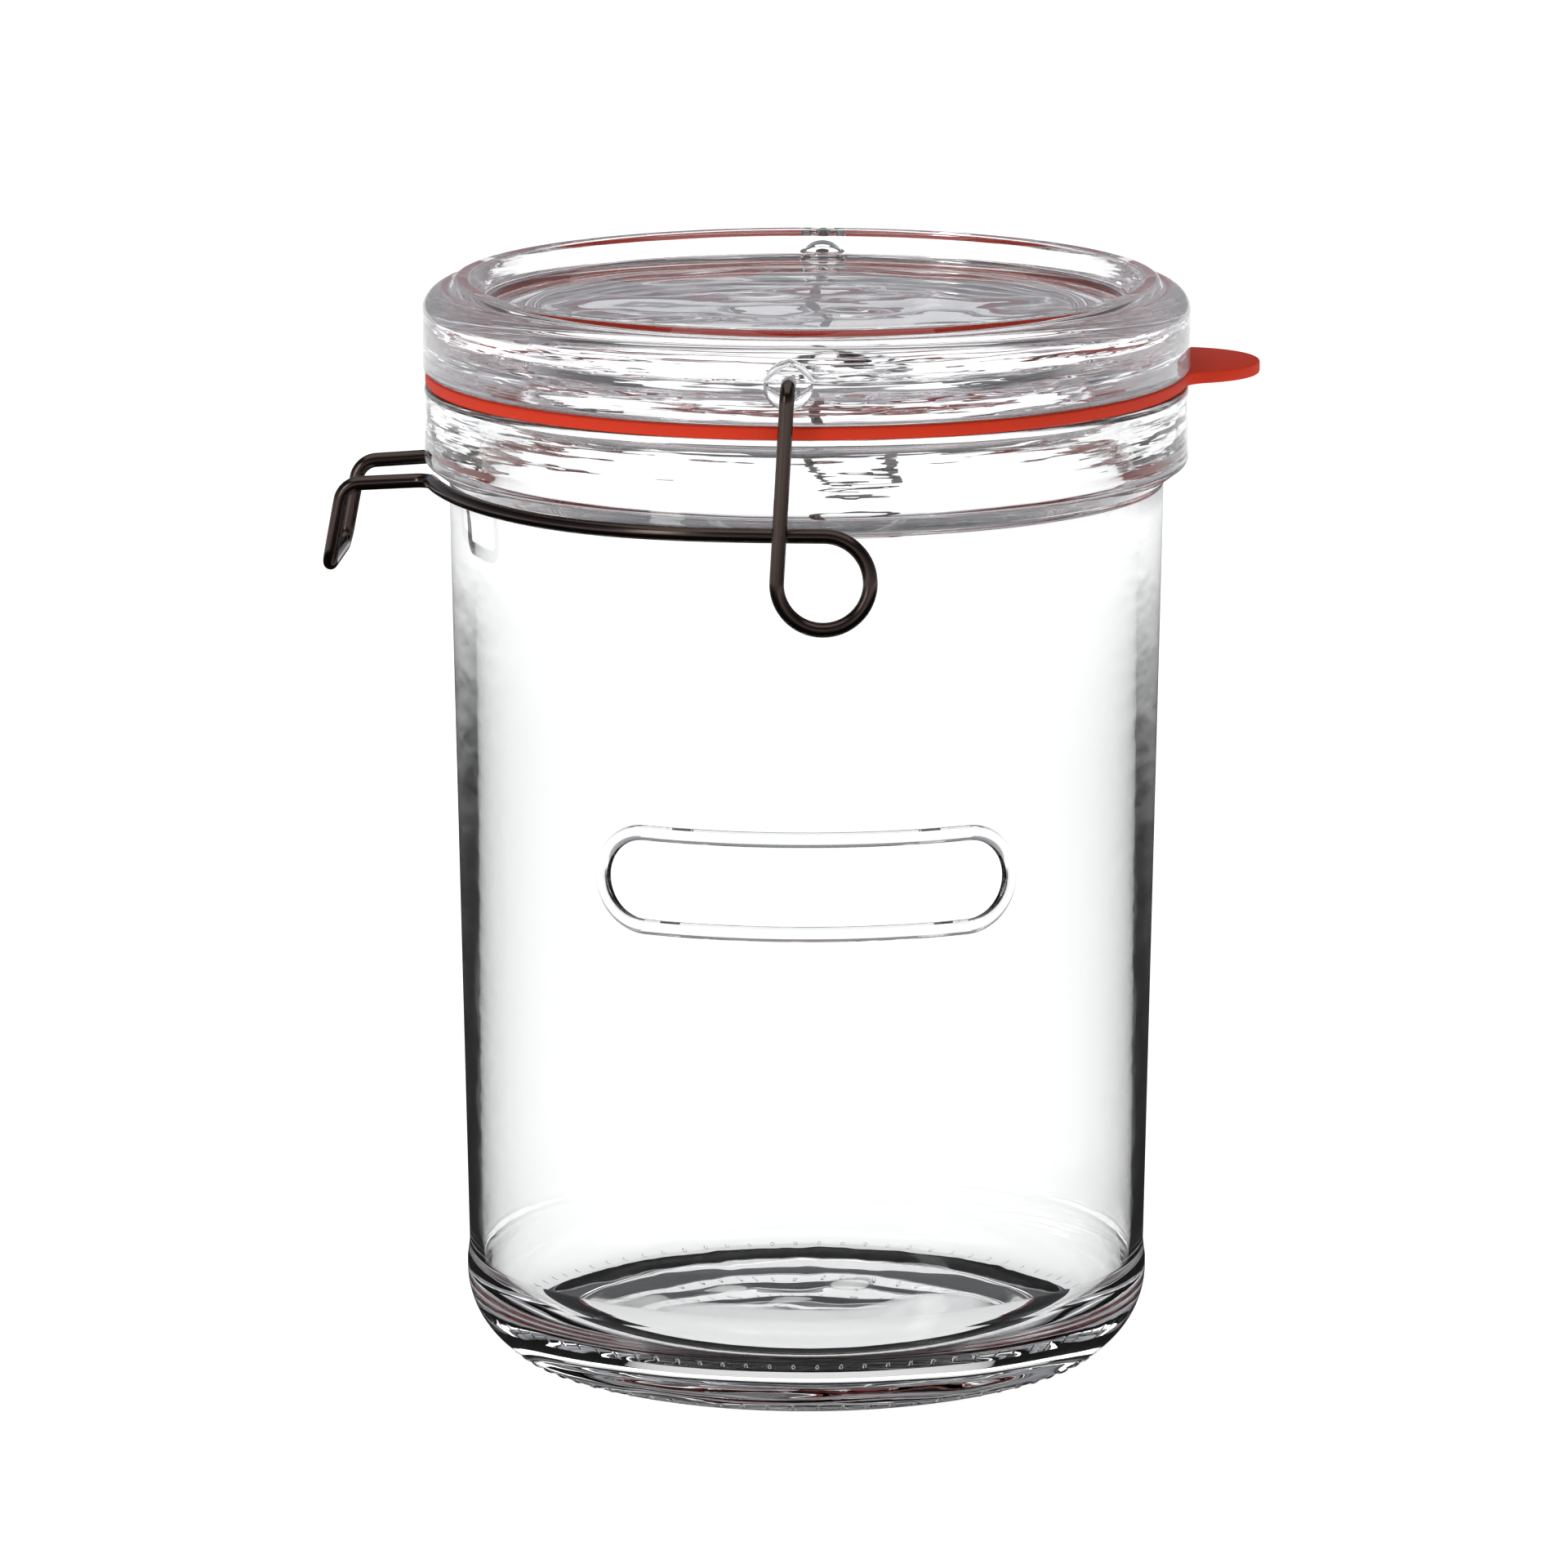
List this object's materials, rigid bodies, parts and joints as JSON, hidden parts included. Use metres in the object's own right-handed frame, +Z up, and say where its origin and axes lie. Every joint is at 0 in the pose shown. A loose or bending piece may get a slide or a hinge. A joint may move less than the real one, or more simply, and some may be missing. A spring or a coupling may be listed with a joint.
{
  "type": "bail clamp jar",
  "caption": "Wide-mouth cylindrical glass preserving jar with loose glass lid, red rubber ring with pull tab and a one-piece spring wire bail that snaps under the neck flange.",
  "frame": {"origin": "centre of the base circle, in the plane the jar stands on", "axes": "+Z up along the jar's axis, -X towards the bail's pull handle, the two bail pins on a line parallel to Y"},
  "size_m": [0.1289, 0.1128, 0.1516],
  "materials": {
    "jar_glass": "clear blown soda-lime glass, slightly wavy in the flange, glossy",
    "lid_glass": "clear pressed soda-lime glass with a stippled raised ring, glossy",
    "seal_rubber": "red-orange natural rubber, smooth matt with fine mould texture",
    "spring_wire": "drawn stainless spring wire with a dark brown-grey drawing film, fine lengthwise draw lines"
  },
  "bodies": {
    "jar": {"jar_body": "jar_glass"},
    "lid": {"lid": "lid_glass"},
    "gasket": {"gasket": "seal_rubber"},
    "bail": {"wire_bail": "spring_wire"}
  },
  "joints": [
    {"name": "lid_lift", "type": "slide", "parent": "jar", "child": "lid", "axis": [0, 0, 1], "range_m": [0, 0.08]},
    {"name": "gasket_lift", "type": "slide", "parent": "jar", "child": "gasket", "axis": [0, 0, 1], "range_m": [0, 0.072]},
    {"name": "bail_swing", "type": "hinge", "parent": "lid", "child": "bail", "pos_m": [0, 0, 0.1446], "axis": [0, 1, 0], "range_deg": [0, 200], "deforming": ["wire_bail"]}
  ],
  "couplings": [
    {"joint": "gasket_lift", "follows": "lid_lift", "ratio": 0.9}
  ]
}
